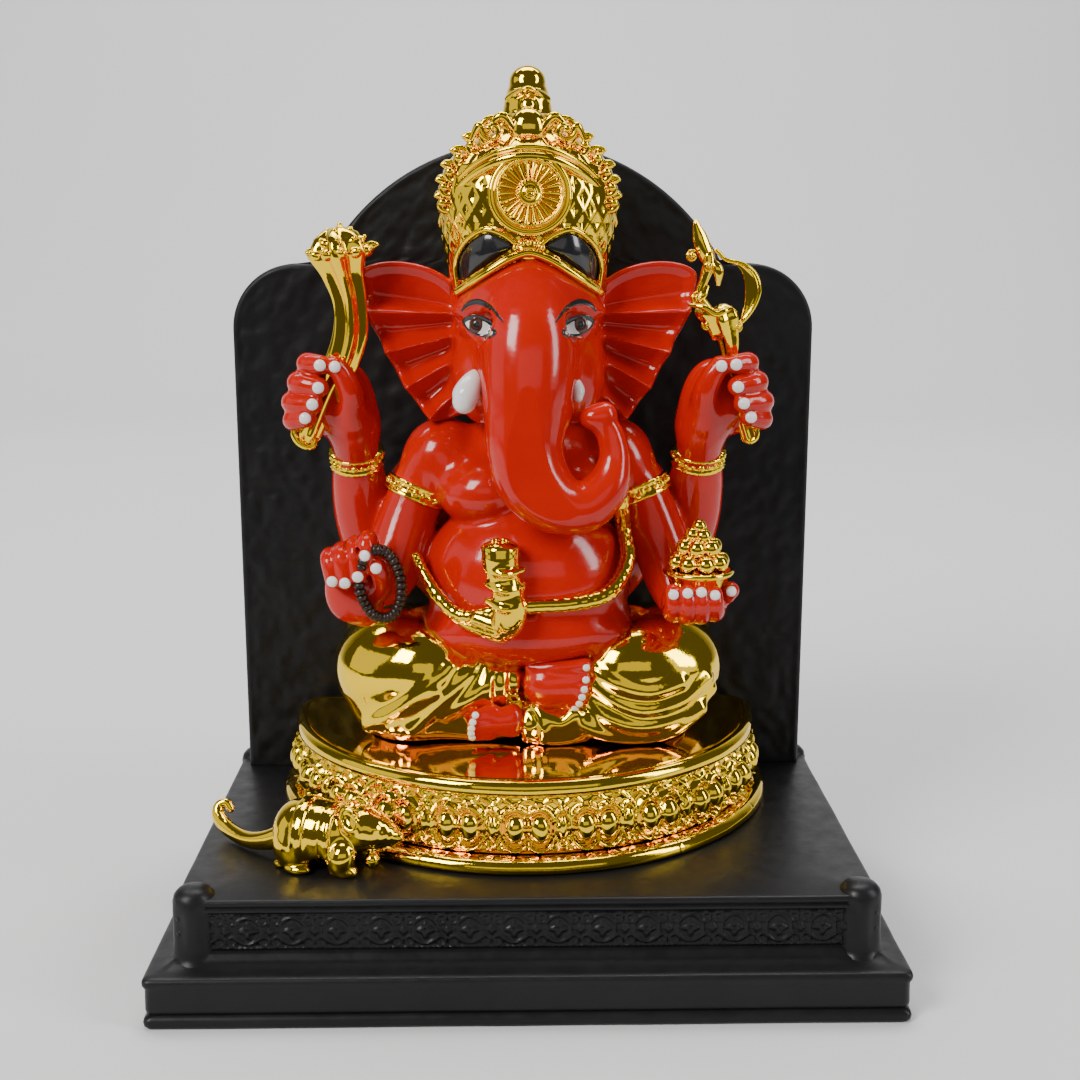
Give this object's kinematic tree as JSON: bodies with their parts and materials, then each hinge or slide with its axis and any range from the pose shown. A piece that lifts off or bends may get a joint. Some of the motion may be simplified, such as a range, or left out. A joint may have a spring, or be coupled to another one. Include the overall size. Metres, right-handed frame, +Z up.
{
  "type": "ganesha idol",
  "caption": "Seated four-armed elephant-headed figure on a gold lotus pedestal, with a mouse, before an arched black panel on a moulded plinth.",
  "frame": {"origin": "middle of the plinth's underside, on the surface it stands on", "axes": "+Z up, the figure faces -Y, +X to the viewer's right"},
  "size_m": [0.162, 0.108, 0.2],
  "materials": {
    "black_satin": "satin black lacquer on cast resin; the backdrop has a hammered texture",
    "plated_gold": "mirror gold plating on cast resin, orange in the recesses",
    "red_enamel": "glossy vermilion enamel on cast resin",
    "white_enamel": "white enamel: tusks, nail dots, whites of the eyes",
    "black_enamel": "black enamel: crown panels, brows and outlines of the eyes",
    "brown_enamel": "dark brown enamel: rosary beads, irises",
    "felt": "short felt",
    "board": "fibreboard",
    "steel": "plain steel screws and pins"
  },
  "bodies": {
    "root": {"armlets": "plated_gold", "axe_head": "plated_gold", "axe_shaft": "plated_gold", "backdrop_panel": "black_satin", "base_felt": "felt", "board_screws": "steel", "bottom_board": "board", "bracelets": "plated_gold", "brow_band": "plated_gold", "corner_posts": "black_satin", "crown_body": "plated_gold", "crown_crest": "plated_gold", "crown_finial": "plated_gold", "crown_insets": "black_enamel", "crown_rosette": "plated_gold", "figure_dowels": "steel", "flower_stem": "plated_gold", "front_pleats": "plated_gold", "head": "red_enamel", "hip_cloth": "plated_gold", "left_ear": "red_enamel", "left_foot": "red_enamel", "left_leg": "plated_gold", "left_tusk": "white_enamel", "lower_left_arm": "red_enamel", "lower_left_hand": "red_enamel", "lower_right_arm": "red_enamel", "lower_right_hand": "red_enamel", "mouse_bands": "plated_gold", "mouse_body": "plated_gold", "mouse_feet": "plated_gold", "mouse_head": "plated_gold", "mouse_tail": "plated_gold", "neck_dowel": "steel", "panel_screws": "steel", "pedestal_dowels": "steel", "pedestal_drum": "plated_gold", "pedestal_foot_rim": "plated_gold", "pedestal_lotus_panels": "plated_gold", "pedestal_neck_ribs": "plated_gold", "pedestal_top": "plated_gold", "pedestal_top_rim": "plated_gold", "plinth": "black_satin", "right_ear": "red_enamel", "right_foot": "red_enamel", "right_leg": "plated_gold", "right_tusk": "white_enamel", "rosary": "brown_enamel", "snake_hood": "plated_gold", "sweet_bowl": "plated_gold", "sweets": "plated_gold", "thread_snake": "plated_gold", "torso": "red_enamel", "trunk": "red_enamel", "upper_left_arm": "red_enamel", "upper_left_hand": "red_enamel", "upper_right_arm": "red_enamel", "upper_right_hand": "red_enamel"}
  },
  "joints": []
}
